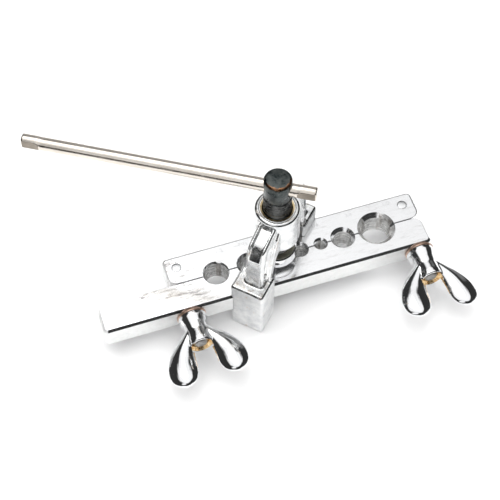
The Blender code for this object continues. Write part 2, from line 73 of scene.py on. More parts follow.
# --- small mesh tools --------------------------------------------------------------------------

def linked(name, bm, matrix):
    """An object from a bmesh in metres, placed by matrix."""
    mesh = bpy.data.meshes.new(name)
    bm.to_mesh(mesh)
    bm.free()
    piece = bpy.data.objects.new(name, mesh)
    bpy.context.scene.collection.objects.link(piece)
    piece.matrix_world = matrix
    return piece


def make(name, bm, matrix=None):
    """An object from a bmesh in millimetres, placed by matrix or else on the bar."""
    bmesh.ops.scale(bm, vec=(MM, MM, MM), verts=bm.verts)
    bmesh.ops.recalc_face_normals(bm, faces=bm.faces)
    return linked(name, bm, matrix if matrix is not None else BAR_FRAME.copy())


def settle(piece):
    """Turns a piece's modifiers into its mesh."""
    bpy.context.view_layer.update()
    graph = bpy.context.evaluated_depsgraph_get()
    mesh = bpy.data.meshes.new_from_object(piece.evaluated_get(graph))
    piece.modifiers.clear()
    piece.data = mesh
    return piece


def drop(*pieces):
    for piece in pieces:
        bpy.data.objects.remove(piece, do_unlink=True)


def cut(piece, cutters):
    """Cuts throwaway objects out of a piece."""
    for cutter in cutters:
        step = piece.modifiers.new("Boolean", "BOOLEAN")
        step.operation = "DIFFERENCE"
        step.solver = "EXACT"
        step.object = cutter
    settle(piece)
    drop(*cutters)


def joined(name, pieces):
    """One object holding the overlapping shells of several."""
    bm = bmesh.new()
    base = pieces[0].matrix_world.copy()
    for piece in pieces:
        mesh = piece.data.copy()
        mesh.transform(base.inverted() @ piece.matrix_world)
        bm.from_mesh(mesh)
    drop(*pieces)
    return linked(name, bm, base)


def melted(piece, voxel, smooth):
    """Runs shells together into one skin and rounds its edges, as a forging's are."""
    remesh = piece.modifiers.new("Remesh", "REMESH")
    remesh.mode = "VOXEL"
    remesh.voxel_size = voxel * MM
    soften = piece.modifiers.new("Smooth", "SMOOTH")
    soften.factor = 0.5
    soften.iterations = smooth
    return settle(piece)


def beveled(piece, width, segments, angle):
    """Breaks the edges that are sharper than angle."""
    edge = piece.modifiers.new("Edges", "BEVEL")
    edge.width = width * MM
    edge.segments = segments
    edge.limit_method = "ANGLE"
    edge.angle_limit = math.radians(angle)
    return settle(piece)


def shaded(piece, angle=30.0, weighted=False):
    """Smooth shading but for edges sharper than angle; weighted keeps large flats flat."""
    piece.data.shade_smooth()
    piece.data.set_sharp_from_angle(angle=math.radians(angle))
    if weighted:
        even = piece.modifiers.new("Even", "WEIGHTED_NORMAL")
        even.keep_sharp = True
        even.weight = 100
        settle(piece)
    return piece


def fillet(corners, closed=False, steps=5):
    """A polyline with each corner (x, y, radius) rounded."""
    points = []
    count = len(corners)
    for index, corner in enumerate(corners):
        radius = corner[2] if len(corner) > 2 else 0.0
        here = Vector(corner[:2])
        if radius <= 0.0 or (not closed and index in (0, count - 1)):
            points.append(here)
            continue
        before = Vector(corners[index - 1][:2]) - here
        after = Vector(corners[(index + 1) % count][:2]) - here
        half = before.angle(after) / 2
        reach = radius / math.tan(half)
        limit = 0.49 * min(before.length, after.length)
        if reach > limit:
            radius *= limit / reach
            reach = limit
        inward = (before.normalized() + after.normalized()).normalized()
        middle = here + inward * radius / math.sin(half)
        first = here + before.normalized() * reach - middle
        sweep = first.angle_signed(here + after.normalized() * reach - middle)
        for step in range(steps + 1):
            points.append(middle + Matrix.Rotation(-sweep * step / steps, 2) @ first)
    return points


def add_face(bm, corners):
    """A face through the corners. Repeated corners count once, and two make no face."""
    kept = list(dict.fromkeys(corners))
    if len(kept) > 2:
        bm.faces.new(kept)


def ring_faces(bm, low, high):
    """Faces between two rings of vertices."""
    count = len(low)
    for index in range(count):
        after = (index + 1) % count
        add_face(bm, (low[index], low[after], high[after], high[index]))


def loft(bm, rings):
    """Faces between each ring and the next, and one over each end."""
    for low, high in zip(rings, rings[1:]):
        ring_faces(bm, low, high)
    bm.faces.new(rings[0])
    bm.faces.new(rings[-1])


def lathe(bm, profile, steps):
    """Turns a profile of (radius, height) about Z. A radius of 0 closes to one point."""
    rings = []
    for radius, height in profile:
        if radius < 1e-6:
            rings.append([bm.verts.new((0.0, 0.0, height))] * steps)
            continue
        rings.append([bm.verts.new((radius * math.cos(2 * math.pi * step / steps),
                                    radius * math.sin(2 * math.pi * step / steps), height))
                      for step in range(steps)])
    for low, high in zip(rings, rings[1:]):
        ring_faces(bm, low, high)


def turned(name, corners, matrix=None, steps=64, closed=False, arc=4):
    """A turned piece. closed joins the profile's last point to its first, as on a ring."""
    bm = bmesh.new()
    profile = fillet(corners, closed, arc)
    if closed:
        profile.append(profile[0])
    lathe(bm, profile, steps)
    bmesh.ops.remove_doubles(bm, verts=bm.verts, dist=1e-5)
    return make(name, bm, matrix)


def threaded(name, radius, depth, pitch, low, high, below, above, matrix, steps, rows):
    """A turned piece with a helical thread from low to high between two plain profiles.

    The thread has steps points round and rows points a turn, and fades out over 0.8 of a turn.
    """
    bm = bmesh.new()
    total = int((high - low) / pitch + 3) * rows
    columns = []
    for step in range(steps):
        column = []
        angle = 2 * math.pi * step / steps
        for row in range(total + 1):
            z = low - pitch + pitch * (row / rows + step / steps)
            inside = min(max(z, low), high)
            fade = min(1.0, (inside - low) / (0.8 * pitch), (high - inside) / (0.8 * pitch))
            wave = 0.5 - 0.5 * math.cos(2 * math.pi * row / rows)
            root = min(max((wave - 0.2) / 0.6, 0.0), 1.0)
            r = radius - depth * fade * root
            column.append(bm.verts.new((r * math.cos(angle), r * math.sin(angle), inside)))
        columns.append(column)
    one_turn_on = [columns[0][min(row + rows, total)] for row in range(total + 1)]
    columns.append(one_turn_on)
    for left, right in zip(columns, columns[1:]):
        for row in range(total):
            add_face(bm, (left[row], right[row], right[row + 1], left[row + 1]))
    lathe(bm, below, steps)
    lathe(bm, above, steps)
    bmesh.ops.remove_doubles(bm, verts=bm.verts, dist=1e-4)
    bmesh.ops.dissolve_degenerate(bm, edges=bm.edges, dist=1e-4)
    return make(name, bm, matrix)


def prism(name, outline, low, high, matrix=None, axis="Z"):
    """An outline made solid from low to high along Z, or drawn in XZ and made solid along Y."""
    bm = bmesh.new()
    ends = []
    for h in (low, high):
        ends.append([bm.verts.new((p[0], p[1], h) if axis == "Z" else (p[0], h, p[1]))
                     for p in outline])
    loft(bm, ends)
    return make(name, bm, matrix)


def block(name, low, high, matrix=None):
    """A box from the corner low to the corner high."""
    outline = [(low[0], low[1]), (high[0], low[1]), (high[0], high[1]), (low[0], high[1])]
    return prism(name, outline, low[2], high[2], matrix)


# --- material tools ----------------------------------------------------------------------------

class Paint:
    """A Principled material with a few procedural helpers. Sizes are in millimetres.

    place is the frame in which the material's noises and distances are laid out.
    """

    def __init__(self, name, colour, roughness, metallic=1.0, place=None):
        self.material = bpy.data.materials.new(name)
        self.material.use_nodes = True
        self.tree = self.material.node_tree
        self.shader = self.tree.nodes["Principled BSDF"]
        self.shader.inputs["Base Color"].default_value = (*colour, 1.0)
        self.shader.inputs["Roughness"].default_value = roughness
        self.shader.inputs["Metallic"].default_value = metallic
        self.coords = self.tree.nodes.new("ShaderNodeTexCoord").outputs["Object"]
        if place is not None:
            local = self.tree.nodes.new("ShaderNodeMapping")
            local.inputs["Location"].default_value = place.inverted().to_translation()
            local.inputs["Rotation"].default_value = place.inverted().to_euler()
            self.link(self.coords, local.inputs["Vector"])
            self.coords = local.outputs["Vector"]
        self.normal = None

    def link(self, source, target):
        self.tree.links.new(source, target)

    def stretched(self, x, y, z, turn=0.0):
        """Coordinates for a noise that is drawn out along an axis where its scale is below 1."""
        mapping = self.tree.nodes.new("ShaderNodeMapping")
        mapping.inputs["Scale"].default_value = (x, y, z)
        mapping.inputs["Rotation"].default_value = (0.0, 0.0, math.radians(turn))
        self.link(self.coords, mapping.inputs["Vector"])
        return mapping.outputs["Vector"]

    def noise(self, size, detail=3.0, rough=0.55, coords=None):
        node = self.tree.nodes.new("ShaderNodeTexNoise")
        node.inputs["Scale"].default_value = 1.0 / (size * MM)
        node.inputs["Detail"].default_value = detail
        node.inputs["Roughness"].default_value = rough
        self.link(coords if coords else self.coords, node.inputs["Vector"])
        return node.outputs["Fac"]

    def ramp(self, value, *stops):
        """Numbers or colours at places from 0 to 1."""
        node = self.tree.nodes.new("ShaderNodeValToRGB")
        self.link(value, node.inputs["Fac"])
        elements = node.color_ramp.elements
        while len(elements) < len(stops):
            elements.new(0.5)
        for element, (place, colour) in zip(elements, stops):
            element.position = place
            if not hasattr(colour, "__len__"):
                colour = (colour, colour, colour)
            element.color = (*colour, 1.0)
        return node.outputs["Color"]

    def mix(self, share, first, second):
        """first where share is 0 and second where it is 1."""
        node = self.tree.nodes.new("ShaderNodeMix")
        node.data_type = "RGBA"
        for value, socket in ((share, node.inputs[0]), (first, node.inputs[6]),
                              (second, node.inputs[7])):
            if hasattr(value, "is_output"):
                self.link(value, socket)
            elif hasattr(value, "__len__"):
                socket.default_value = (*value, 1.0)
            else:
                socket.default_value = value
        return node.outputs[2]

    def math(self, kind, first, second=0.0):
        node = self.tree.nodes.new("ShaderNodeMath")
        node.operation = kind
        for value, socket in zip((first, second), node.inputs):
            if hasattr(value, "is_output"):
                self.link(value, socket)
            else:
                socket.default_value = value
        return node.outputs[0]

    def times(self, *factors):
        product = factors[0]
        for factor in factors[1:]:
            product = self.math("MULTIPLY", product, factor)
        return product

    def along(self, value, start, end):
        """How far value has come from start, 0, to end, 1."""
        return self.math("DIVIDE", self.math("SUBTRACT", value, start), end - start)

    def where(self):
        """A point's x, y and z in the material's frame, in millimetres."""
        split = self.tree.nodes.new("ShaderNodeSeparateXYZ")
        self.link(self.coords, split.inputs[0])
        return [self.math("MULTIPLY", split.outputs[axis], 1.0 / MM) for axis in range(3)]

    def bump(self, value, depth):
        node = self.tree.nodes.new("ShaderNodeBump")
        node.inputs["Distance"].default_value = depth * MM
        self.link(value, node.inputs["Height"])
        if self.normal:
            self.link(self.normal, node.inputs["Normal"])
        self.normal = node.outputs["Normal"]
        self.link(self.normal, self.shader.inputs["Normal"])

    def colour(self, value):
        self.link(value, self.shader.inputs["Base Color"])

    def roughness(self, value):
        self.link(value, self.shader.inputs["Roughness"])


PLATE = (0.90, 0.905, 0.915)


def bright_chrome(name, low, high):
    """Chrome plate: low and high are the roughness of its clearest and its haziest places."""
    paint = Paint(name, PLATE, low)
    cloud = paint.noise(9.0, 4.0)
    fine = paint.noise(0.9, 3.0, 0.7)
    paint.roughness(paint.ramp(paint.mix(0.35, cloud, fine), (0.35, low), (0.7, high)))
    pits = paint.noise(1.3, 5.0, 0.75)
    paint.colour(paint.ramp(pits, (0.72, PLATE), (0.80, (0.50, 0.44, 0.38))))
    paint.bump(paint.noise(5.0, 3.0), 0.045)
    paint.bump(pits, 0.006)
    return paint.material


def buffed_chrome():
    """The top of the bars: hazier, with fine marks along them, dark specks, and a painted
    reflection of the handle as a brown streak with dark flecks.
    """
    paint = Paint("buffed_chrome", PLATE, 0.16, 1.0, BAR_FRAME)
    cloud = paint.noise(11.0, 5.0, 0.6)
    grain = paint.noise(1.2, 4.0, 0.7, paint.stretched(0.10, 1.0, 1.0))
    paint.roughness(paint.ramp(paint.mix(0.4, cloud, grain), (0.35, 0.10), (0.68, 0.26)))
    x, _, _ = paint.where()
    # Painted reflection of the handle in the bars' top: a brown streak with dark flecks, strongest
    # from x -76 to -50 and faint to the right of -36.
    left = paint.ramp(paint.along(x, -100.0, -20.0), (0.08, 0.0), (0.30, 1.0), (0.62, 1.0),
                      (0.80, 0.12), (1.0, 0.12))
    streak = paint.noise(3.4, 5.0, 0.68, paint.stretched(0.22, 1.0, 1.0, 7.0))
    handle_reflection = paint.times(left, paint.ramp(streak, (0.52, 0.0), (0.66, 0.62)))
    dots = paint.noise(1.1, 5.0, 0.75, paint.stretched(0.45, 1.0, 1.0, 7.0))
    reflection_flecks = paint.times(handle_reflection, paint.ramp(dots, (0.44, 0.0), (0.53, 1.7)))
    specks_and_reflection_flecks = paint.math("MAXIMUM", reflection_flecks, paint.ramp(dots, (0.72, 0.0), (0.80, 0.8)))
    tint = paint.mix(handle_reflection, PLATE, (0.52, 0.46, 0.41))
    paint.colour(paint.mix(specks_and_reflection_flecks, tint, (0.22, 0.22, 0.23)))
    paint.bump(paint.noise(9.0, 2.0), 0.02)
    paint.bump(grain, 0.004)
    return paint.material


def worn_chrome(name, metallic):
    """The sides of the bars: matt and mottled, with small pits."""
    paint = Paint(name, (0.80, 0.81, 0.82), 0.40, metallic)
    cloud = paint.noise(4.0, 5.0, 0.65)
    paint.roughness(paint.ramp(cloud, (0.3, 0.28), (0.7, 0.50)))
    pits = paint.noise(1.1, 5.0, 0.72)
    tone = paint.ramp(cloud, (0.3, (0.76, 0.765, 0.76)), (0.7, (0.88, 0.885, 0.88)))
    paint.colour(paint.mix(paint.ramp(pits, (0.64, 0.0), (0.72, 0.85)), tone, (0.40, 0.40, 0.41)))
    paint.bump(paint.noise(2.4, 4.0, 0.6), 0.05)
    paint.bump(pits, 0.02)
    return paint.material


def forged_chrome():
    """The yoke: uneven plate, matt on the jaws, with brown stains round the arms' feet."""
    jaw_top = 9.6
    paint = Paint("forged_chrome", (0.84, 0.85, 0.86), 0.22, 1.0, YOKE_FRAME)
    cloud = paint.noise(5.0, 5.0, 0.62)
    _, _, z = paint.where()
    jaw = paint.ramp(paint.along(z, jaw_top, jaw_top - 1.6), (0.0, 0.0), (1.0, 1.0))
    haze = paint.ramp(cloud, (0.3, 0.10), (0.72, 0.30))
    paint.roughness(paint.math("ADD", haze, paint.times(jaw, 0.16)))
    tone = paint.ramp(cloud, (0.34, (0.66, 0.67, 0.68)), (0.62, (0.89, 0.895, 0.89)))
    spots = paint.times(paint.noise(2.6, 5.0, 0.72), paint.noise(9.0, 3.0))
    spotted = paint.mix(paint.ramp(spots, (0.34, 0.0), (0.42, 0.8)), tone, (0.56, 0.45, 0.36))
    foot = paint.ramp(paint.along(z, jaw_top, jaw_top + 8.0), (0.02, 1.0), (0.55, 0.0))
    brown = paint.times(foot, paint.math("SUBTRACT", 1.0, jaw),
                        paint.ramp(paint.noise(2.8, 4.0, 0.6), (0.50, 0.0), (0.64, 0.5)))
    stained = paint.mix(brown, spotted, (0.42, 0.34, 0.27))
    pits = paint.ramp(paint.noise(1.4, 5.0, 0.74), (0.64, 0.0), (0.71, 0.85))
    paint.colour(paint.mix(pits, stained, (0.30, 0.30, 0.31)))
    paint.bump(paint.noise(3.2, 4.0, 0.6), 0.09)
    paint.bump(paint.noise(0.7, 3.0, 0.6), 0.018)
    return paint.material


def ground_steel():
    """Bare steel pins and studs, with fine marks round them."""
    paint = Paint("ground_steel", (0.34, 0.34, 0.34), 0.32)
    grain = paint.noise(1.2, 4.0, 0.7, paint.stretched(1.0, 1.0, 9.0))
    paint.roughness(paint.ramp(grain, (0.3, 0.22), (0.7, 0.45)))
    paint.colour(paint.ramp(paint.noise(2.0, 4.0), (0.3, (0.20, 0.19, 0.18)),
                            (0.7, (0.42, 0.41, 0.40))))
    paint.bump(grain, 0.01)
    return paint.material


def black_oxide():
    """Blackened steel, rubbed to brown here and there round the head and bright on the thread."""
    paint = Paint("black_oxide", (0.04, 0.05, 0.05), 0.36, 1.0, BAR_FRAME)
    cloud = paint.noise(3.0, 5.0, 0.65)
    patchy = paint.noise(2.6, 6.0, 0.72)
    x, y, z = paint.where()
    radius = paint.math("SQRT", paint.math("ADD", paint.times(x, x), paint.times(y, y)))
    top = paint.ramp(paint.along(z, 66.0, 72.4), (0.0, 0.0), (0.80, 0.55), (0.90, 1.0))
    rim = paint.ramp(paint.along(radius, 0.0, 8.0), (0.55, 0.0), (0.80, 1.0))
    front = paint.ramp(paint.along(y, 3.0, -7.0), (0.1, 0.2), (0.6, 1.0))
    worn = paint.ramp(paint.times(top, rim, front, patchy), (0.33, 0.0), (0.50, 0.85))
    dark = paint.ramp(cloud, (0.34, (0.024, 0.032, 0.033)), (0.68, (0.115, 0.125, 0.122)))
    rust = paint.ramp(paint.noise(1.2, 4.0), (0.3, (0.15, 0.06, 0.03)), (0.7, (0.50, 0.25, 0.12)))
    thread = paint.ramp(paint.along(z, 60.0, 56.0), (0.2, 0.0), (0.7, 1.0))
    bare = paint.ramp(cloud, (0.3, (0.06, 0.065, 0.065)), (0.7, (0.24, 0.24, 0.235)))
    paint.colour(paint.mix(thread, paint.mix(worn, dark, rust), bare))
    paint.roughness(paint.ramp(cloud, (0.3, 0.20), (0.7, 0.42)))
    paint.bump(paint.noise(0.9, 4.0, 0.7), 0.04)
    return paint.material


def warm_nickel(name, bright, dull, low, high):
    """Nickel plate with fine marks along the rod, from bright and smooth to dull and rough."""
    paint = Paint(name, bright, low, 1.0, HANDLE_FRAME)
    grain = paint.noise(1.4, 5.0, 0.7, paint.stretched(0.05, 1.0, 1.0))
    cloud = paint.noise(12.0, 4.0)
    paint.colour(paint.ramp(paint.mix(0.4, cloud, grain), (0.35, bright), (0.68, dull)))
    paint.roughness(paint.ramp(grain, (0.3, low), (0.7, high)))
    paint.bump(grain, 0.012)
    return paint.material


def gripping_chrome_with_painted_reflections():
    """Inside the tube holes: fine marks round each, and painted reflections as darker and brighter
    bands down the wall.
    """
    paint = Paint("gripping_chrome_with_painted_reflections", (0.86, 0.86, 0.85), 0.22, 0.70, BAR_FRAME)
    marks = paint.noise(0.6, 3.0, 0.6, paint.stretched(0.06, 0.06, 1.0))
    paint.roughness(paint.ramp(marks, (0.3, 0.14), (0.7, 0.32)))
    # Painted reflections: dark and bright vertical bands down each bore's wall.
    band = paint.noise(3.4, 3.0, 0.6, paint.stretched(1.0, 1.0, 0.08))
    paint.colour(paint.ramp(band, (0.36, (0.40, 0.38, 0.36)), (0.48, (0.86, 0.86, 0.85)),
                            (0.70, (0.95, 0.95, 0.95))))
    paint.bump(marks, 0.16)
    return paint.material


def mottled(name, cloud, dark, light, roughness, grit):
    """A metal clouded from dark to light, over two roughnesses. grit is a size and a depth."""
    paint = Paint(name, light, roughness[0])
    patches = paint.noise(*cloud)
    paint.colour(paint.ramp(patches, (0.3, dark), (0.7, light)))
    paint.roughness(paint.ramp(patches, (0.3, roughness[0]), (0.7, roughness[1])))
    paint.bump(paint.noise(grit[0], 3.0), grit[1])
    return paint.material


CHROME = bright_chrome("bright_chrome", 0.03, 0.11)
MARKED = bright_chrome("marked_chrome", 0.45, 0.60)    # the floor of the engraved sizes
BUFFED = buffed_chrome()
WORN = worn_chrome("worn_chrome", 1.0)
SCUFFED = worn_chrome("scuffed_edge", 0.35)
FORGED = forged_chrome()
GRIPPING = gripping_chrome_with_painted_reflections()
STEEL = ground_steel()
OXIDE = black_oxide()
NICKEL = warm_nickel("warm_nickel", (0.83, 0.775, 0.71), (0.70, 0.64, 0.57), 0.17, 0.30)
# Painted shade: a darker copy of the nickel for the flat sides of the pressed ends.
PRESSED_SHADED = warm_nickel("pressed_nickel_painted_shade", (0.36, 0.32, 0.27), (0.20, 0.175, 0.145), 0.30, 0.46)
COPPER = mottled("coppery", (2.2, 5.0, 0.65), (0.42, 0.25, 0.17), (0.78, 0.58, 0.48),
                 (0.25, 0.50), (0.6, 0.015))
BRONZE = mottled("oily_bronze", (2.5, 5.0, 0.65), (0.36, 0.27, 0.14), (0.80, 0.66, 0.42),
                 (0.22, 0.42), (0.5, 0.010))
# The coppery plating that shows where the chrome has gone from a nut's mouth
BRASSY = mottled("brassy", (1.6, 4.0, 0.6), (0.58, 0.34, 0.14), (0.95, 0.76, 0.46),
                 (0.18, 0.36), (0.5, 0.010))
# The cone's turned top face: dull, olive, oily steel, its darkness partly painted shade from the
# hub above
GREASED_AND_SHADED = mottled("greased_steel_and_painted_shade", (4.0, 5.0, 0.6), (0.26, 0.26, 0.21), (0.52, 0.51, 0.45),
                  (0.32, 0.55), (0.5, 0.012))


# --- finishing -----------------------------------------------------------------------------------

def piece_done(piece, material, body, node):
    """Gives a piece its finish, and puts it on its body in place of a CAD node."""
    piece.data.transform(piece.matrix_world)
    piece.matrix_world = Matrix.Identity(4)
    piece.data.materials.clear()
    piece.data.materials.append(material)
    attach(piece, body)
    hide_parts(node)


def other_finish(piece, material, frame_matrix, chosen):
    """Gives the faces that chosen(middle, normal) picks, in the frame's millimetres, a material."""
    back = frame_matrix.inverted()
    turn = back.to_3x3()
    piece.data.materials.append(material)
    for face in piece.data.polygons:
        if chosen(back @ face.center / MM, turn @ face.normal):
            face.material_index = len(piece.data.materials) - 1


# --- die bar -------------------------------------------------------------------------------------

# Each tube hole's place along the bar, its tube's diameter and its seat's diameter at the top
TUBE_HOLES = (
    (-34.0, 12.70, 14.0), (-15.0, 11.11, 13.8), (0.0, 7.94, 11.6), (13.7, 6.35, 9.2),
    (25.6, 4.76, 7.3), (38.4, 9.53, 13.1), (57.9, 15.88, 20.4))
# The tube sizes engraved on the rear half, in inches, and their places
SIZE_MARKS = (
    ("1/2", -28.4, 12.6), ("7/16", -14.6, 12.6), ("5/16", 0.0, 12.4), ("1/4", 13.7, 12.0),
    ("3/16", 25.6, 12.0), ("3/8", 46.4, 12.4), ("5/8", 68.6, 13.2))
BAR_THICK = 14.0
BAR_WIDTH = 17.0
BAR_RIGHT = 84.0
BAR_LEFT = {-1: -100.6, 1: -60.0}    # of the front and the rear half
STUD_X = {"left": -53.3, "right": 76.8}
STUD_Z = -7.0
PIN_Y = 9.8
DOWEL_X = {"left": -45.2, "right": 69.4}
DOWEL_Z = -10.0


def crosswise(x, y, z):
    """A place on the bar whose Z points forward, as the studs and dowels lie."""
    return BAR_FRAME @ placed(x, y, z) @ turned_by(90.0, "X")


def tube_cutter(x, tube, seat):
    """A hole's cutter: a countersunk seat over a bore with fine gripping rings."""
    bore = tube / 2
    flare = seat / 2
    grip = 0.22
    pitch = 1.1
    corners = [(0.0, 2.0), (flare + 2.0, 2.0), (flare + 0.35, 0.12), (flare, -0.2),
               (bore + 0.25, bore - flare + 0.05), (bore, bore - flare - 0.35)]
    z = bore - flare - 0.9
    while z > -BAR_THICK + 1.6:
        corners += [(bore, z + 0.12), (bore + grip, z - 0.14), (bore + grip, z - 0.22),
                    (bore, z - 0.48)]
        z -= pitch
    corners += [(bore, -BAR_THICK + 0.5), (bore + 2.5, -BAR_THICK - 2.0), (0.0, -BAR_THICK - 2.0)]
    return turned("cutter", corners, BAR_FRAME @ placed(x), 72)


def size_mark(text, x, y):
    """The cutter for a tube size, engraved beside its hole."""
    curve = bpy.data.curves.new("mark", "FONT")
    curve.body = text
    curve.size = 3.4 * MM
    curve.align_x = "CENTER"
    curve.align_y = "CENTER"
    curve.extrude = 0.12 * MM
    curve.resolution_u = 3
    drawn = bpy.data.objects.new("mark", curve)
    bpy.context.scene.collection.objects.link(drawn)
    bpy.context.view_layer.update()
    graph = bpy.context.evaluated_depsgraph_get()
    mesh = bpy.data.meshes.new_from_object(drawn.evaluated_get(graph))
    drop(drawn)
    bm = bmesh.new()
    bm.from_mesh(mesh)
    bmesh.ops.remove_doubles(bm, verts=bm.verts, dist=1e-7)
    bmesh.ops.recalc_face_normals(bm, faces=bm.faces)
    return linked("cutter", bm, BAR_FRAME @ placed(x, y))


def bar_shape(name, side):
    """One half of the bar: chamfered outside, nearly sharp along the split."""
    left = BAR_LEFT[side]
    near = side * GAP / 2
    far = side * BAR_WIDTH
    split_corner, outer_corner = 5.5, 2.8
    outline = fillet([(left, near, split_corner), (BAR_RIGHT, near, split_corner),
                      (BAR_RIGHT, far, outer_corner), (left, far, outer_corner)], True, 10)
    piece = prism(name, outline, -BAR_THICK, 0.0)
    weight = piece.data.attributes.new("bevel_weight_edge", "FLOAT", "EDGE")
    for edge in piece.data.edges:
        first, second = (piece.data.vertices[index].co / MM for index in edge.vertices)
        if abs(first.z - second.z) < 0.1:
            away = min(abs((first.y + second.y) / 2 - near) / split_corner, 1.0)
            weight.data[edge.index].value = 0.25 + 0.75 * away
    chamfer = piece.modifiers.new("Chamfer", "BEVEL")
    chamfer.width = 1.3 * MM
    chamfer.segments = 1 if side < 0 else 5
    chamfer.limit_method = "WEIGHT"
    settle(piece)
    return beveled(piece, 0.14, 2, 20.0)


def bar_cutters(side):
    """The tube, stud, pin and dowel holes of one half, and the rear half's marks."""
    cutters = [tube_cutter(*hole) for hole in TUBE_HOLES]
    for x in STUD_X.values():
        cutters.append(turned("cutter", [(0.0, -13.7), (4.1, -13.7), (4.1, 16.7), (4.5, 17.1),
                                         (4.5, 19.0), (0.0, 19.0)], crosswise(x, 0.0, STUD_Z), 40))
        if side > 0:
            cutters.append(turned("cutter", [(0.0, -16.0), (2.6, -16.0), (2.6, -0.2), (2.75, 0.0),
                                             (2.75, 2.0), (0.0, 2.0)],
                                  BAR_FRAME @ placed(x, PIN_Y), 40))
    for x in DOWEL_X.values():
        cutters.append(turned("cutter", [(0.0, -5.8), (1.6, -5.8), (1.6, 5.8), (0.0, 5.8)],
                              crosswise(x, 0.0, DOWEL_Z), 24))
    if side > 0:
        cutters += [size_mark(*mark) for mark in SIZE_MARKS]
    return cutters


def finish_bar(piece, left):
    """Wear on the outer sides and the ends, grips with painted reflections in the tube holes, and
    dull marks.
    """
    def outside(middle, normal):
        at_side = abs(middle.y) > BAR_WIDTH - 1.4
        at_end = not left + 2.0 < middle.x < BAR_RIGHT - 2.0
        return (abs(normal.z) < 0.5 or normal.y > 0.5) and (at_side or at_end)

    def left_chamfer(middle, normal):
        return normal.x < -0.3 and normal.z > 0.3 and middle.x < left + 2.0

    def tube_hole(middle, normal):
        return (abs(normal.z) < 0.9 and 0.3 < abs(middle.y) < 8.1 and abs(middle.x) < 68.0
                and middle.z < -1.0)

    def mark_floor(middle, normal):
        return -0.2 < middle.z < -0.08 and abs(normal.z) > 0.9

    for material, chosen in ((WORN, outside), (SCUFFED, left_chamfer), (GRIPPING, tube_hole),
                             (MARKED, mark_floor)):
        other_finish(piece, material, BAR_FRAME, chosen)


def bars():
    for name, side in (("front_bar", -1), ("rear_bar", 1)):
        piece = bar_shape(f"{name}_polished", side)
        cut(piece, bar_cutters(side))
        shaded(piece, 28.0, weighted=True)
        piece_done(piece, BUFFED, "die_bar", name)
        finish_bar(piece, BAR_LEFT[side])


def dowels():
    for side, x in DOWEL_X.items():
        pin = turned(f"dowel_{side}", [(0.0, -5.5), (1.5, -5.5, 0.3), (1.5, 5.5, 0.3), (0.0, 5.5)],
                     crosswise(x, 0.0, DOWEL_Z), 24)
        piece_done(shaded(pin), STEEL, "die_bar", f"guide_dowel_{side}")


# --- clamps --------------------------------------------------------------------------------------

STUD_PITCH = 1.25
WASHER_THICK = 1.1
NUT_LONG = 17.2
NUT_TWIST = {"left": 4.0, "right": -5.0}


def stud(side):
    x = STUD_X[side]
    start, end = 24.0, 47.6
    piece = threaded(f"stud_{side}_threaded", 3.75, 0.5, STUD_PITCH, start, end,
                     [(0.0, 0.0), (3.3, 0.0), (3.8, 0.5), (3.8, start - 0.8), (3.75, start)],
                     [(3.75, end), (3.1, end + 0.8), (2.6, end + 1.0), (0.0, end + 1.0)],
                     crosswise(x, 13.4, STUD_Z), 40, 8)
    eye = turned("cutter", [(0.0, -6.0), (2.8, -6.0), (2.8, 6.0), (0.0, 6.0)],
                 BAR_FRAME @ placed(x, PIN_Y, STUD_Z), 32)
    cut(piece, [eye])
    piece_done(shaded(piece, 40.0), STEEL, "die_bar", f"stud_{side}")


def stud_pin(side):
    pin = turned(f"stud_pin_{side}_peened", [(0.0, -14.0), (2.1, -14.0, 0.2), (2.5, -13.6, 0.2),
                                             (2.5, -0.35, 0.3), (2.2, -0.08, 0.3), (0.0, 0.0)],
                 BAR_FRAME @ placed(STUD_X[side], PIN_Y), 40)
    piece_done(shaded(pin, 40.0), BUFFED, "die_bar", f"stud_pin_{side}")


def washer(side, face):
    back, front = GAP, GAP + WASHER_THICK
    piece = turned(f"washer_{side}_rounded", [(8.0, front, 0.35), (8.0, back, 0.35),
                                              (4.2, back, 0.2), (4.2, front, 0.2)],
                   face, 64, True, 4)
    piece_done(shaded(piece, 40.0), COPPER, f"washer_{side}", f"washer_{side}")


# Stations of one wing: outwards, along the stud, half width, half thickness
WING = ((2.6, 9.6, 3.6, 4.6), (6.4, 14.2, 4.4, 3.9), (9.6, 18.8, 5.7, 3.4),
        (11.9, 23.6, 7.1, 3.2), (13.3, 28.6, 8.0, 3.3), (13.7, 32.8, 7.8, 3.2),
        (13.7, 36.1, 6.5, 2.8), (13.7, 38.3, 4.2, 2.0), (13.7, 39.5, 1.6, 0.9))


def between(points, parts):
    """Catmull-Rom points through the given ones."""
    smooth = []
    for index in range(len(points) - 1):
        a, b, c, d = (Vector(points[min(max(index + k, 0), len(points) - 1)])
                      for k in (-1, 0, 1, 2))
        for part in range(parts):
            t = part / parts
            smooth.append(0.5 * ((2 * b) + (c - a) * t + (2 * a - 5 * b + 4 * c - d) * t * t
                                 + (3 * b - a - 3 * c + d) * t ** 3))
    smooth.append(Vector(points[-1]))
    return smooth


def wing(way, matrix):
    """One wing, swept through its stations with a section like a lens's."""
    steps = 32
    bm = bmesh.new()
    middle = between([(x, z, 0.0) for x, z, _, _ in WING], 4)
    size = between([(w, t, 0.0) for _, _, w, t in WING], 4)
    rings = []
    for index, (place, (width, thick, _)) in enumerate(zip(middle, size)):
        before = middle[max(index - 1, 0)]
        after = middle[min(index + 1, len(middle) - 1)]
        heading = (after - before).normalized()
        ring = []
        for step in range(steps):
            angle = 2 * math.pi * step / steps
            across = 0.985 * width * math.cos(angle)
            lens = abs(math.sin(angle))
            deep = thick * (0.25 * lens + 0.75 * lens * lens) * math.copysign(1.0, math.sin(angle))
            ring.append(bm.verts.new((way * (place.x + heading.y * across), deep,
                                      place.y - heading.x * across)))
        rings.append(ring)
    loft(bm, rings)
    return make("wing", bm, matrix)


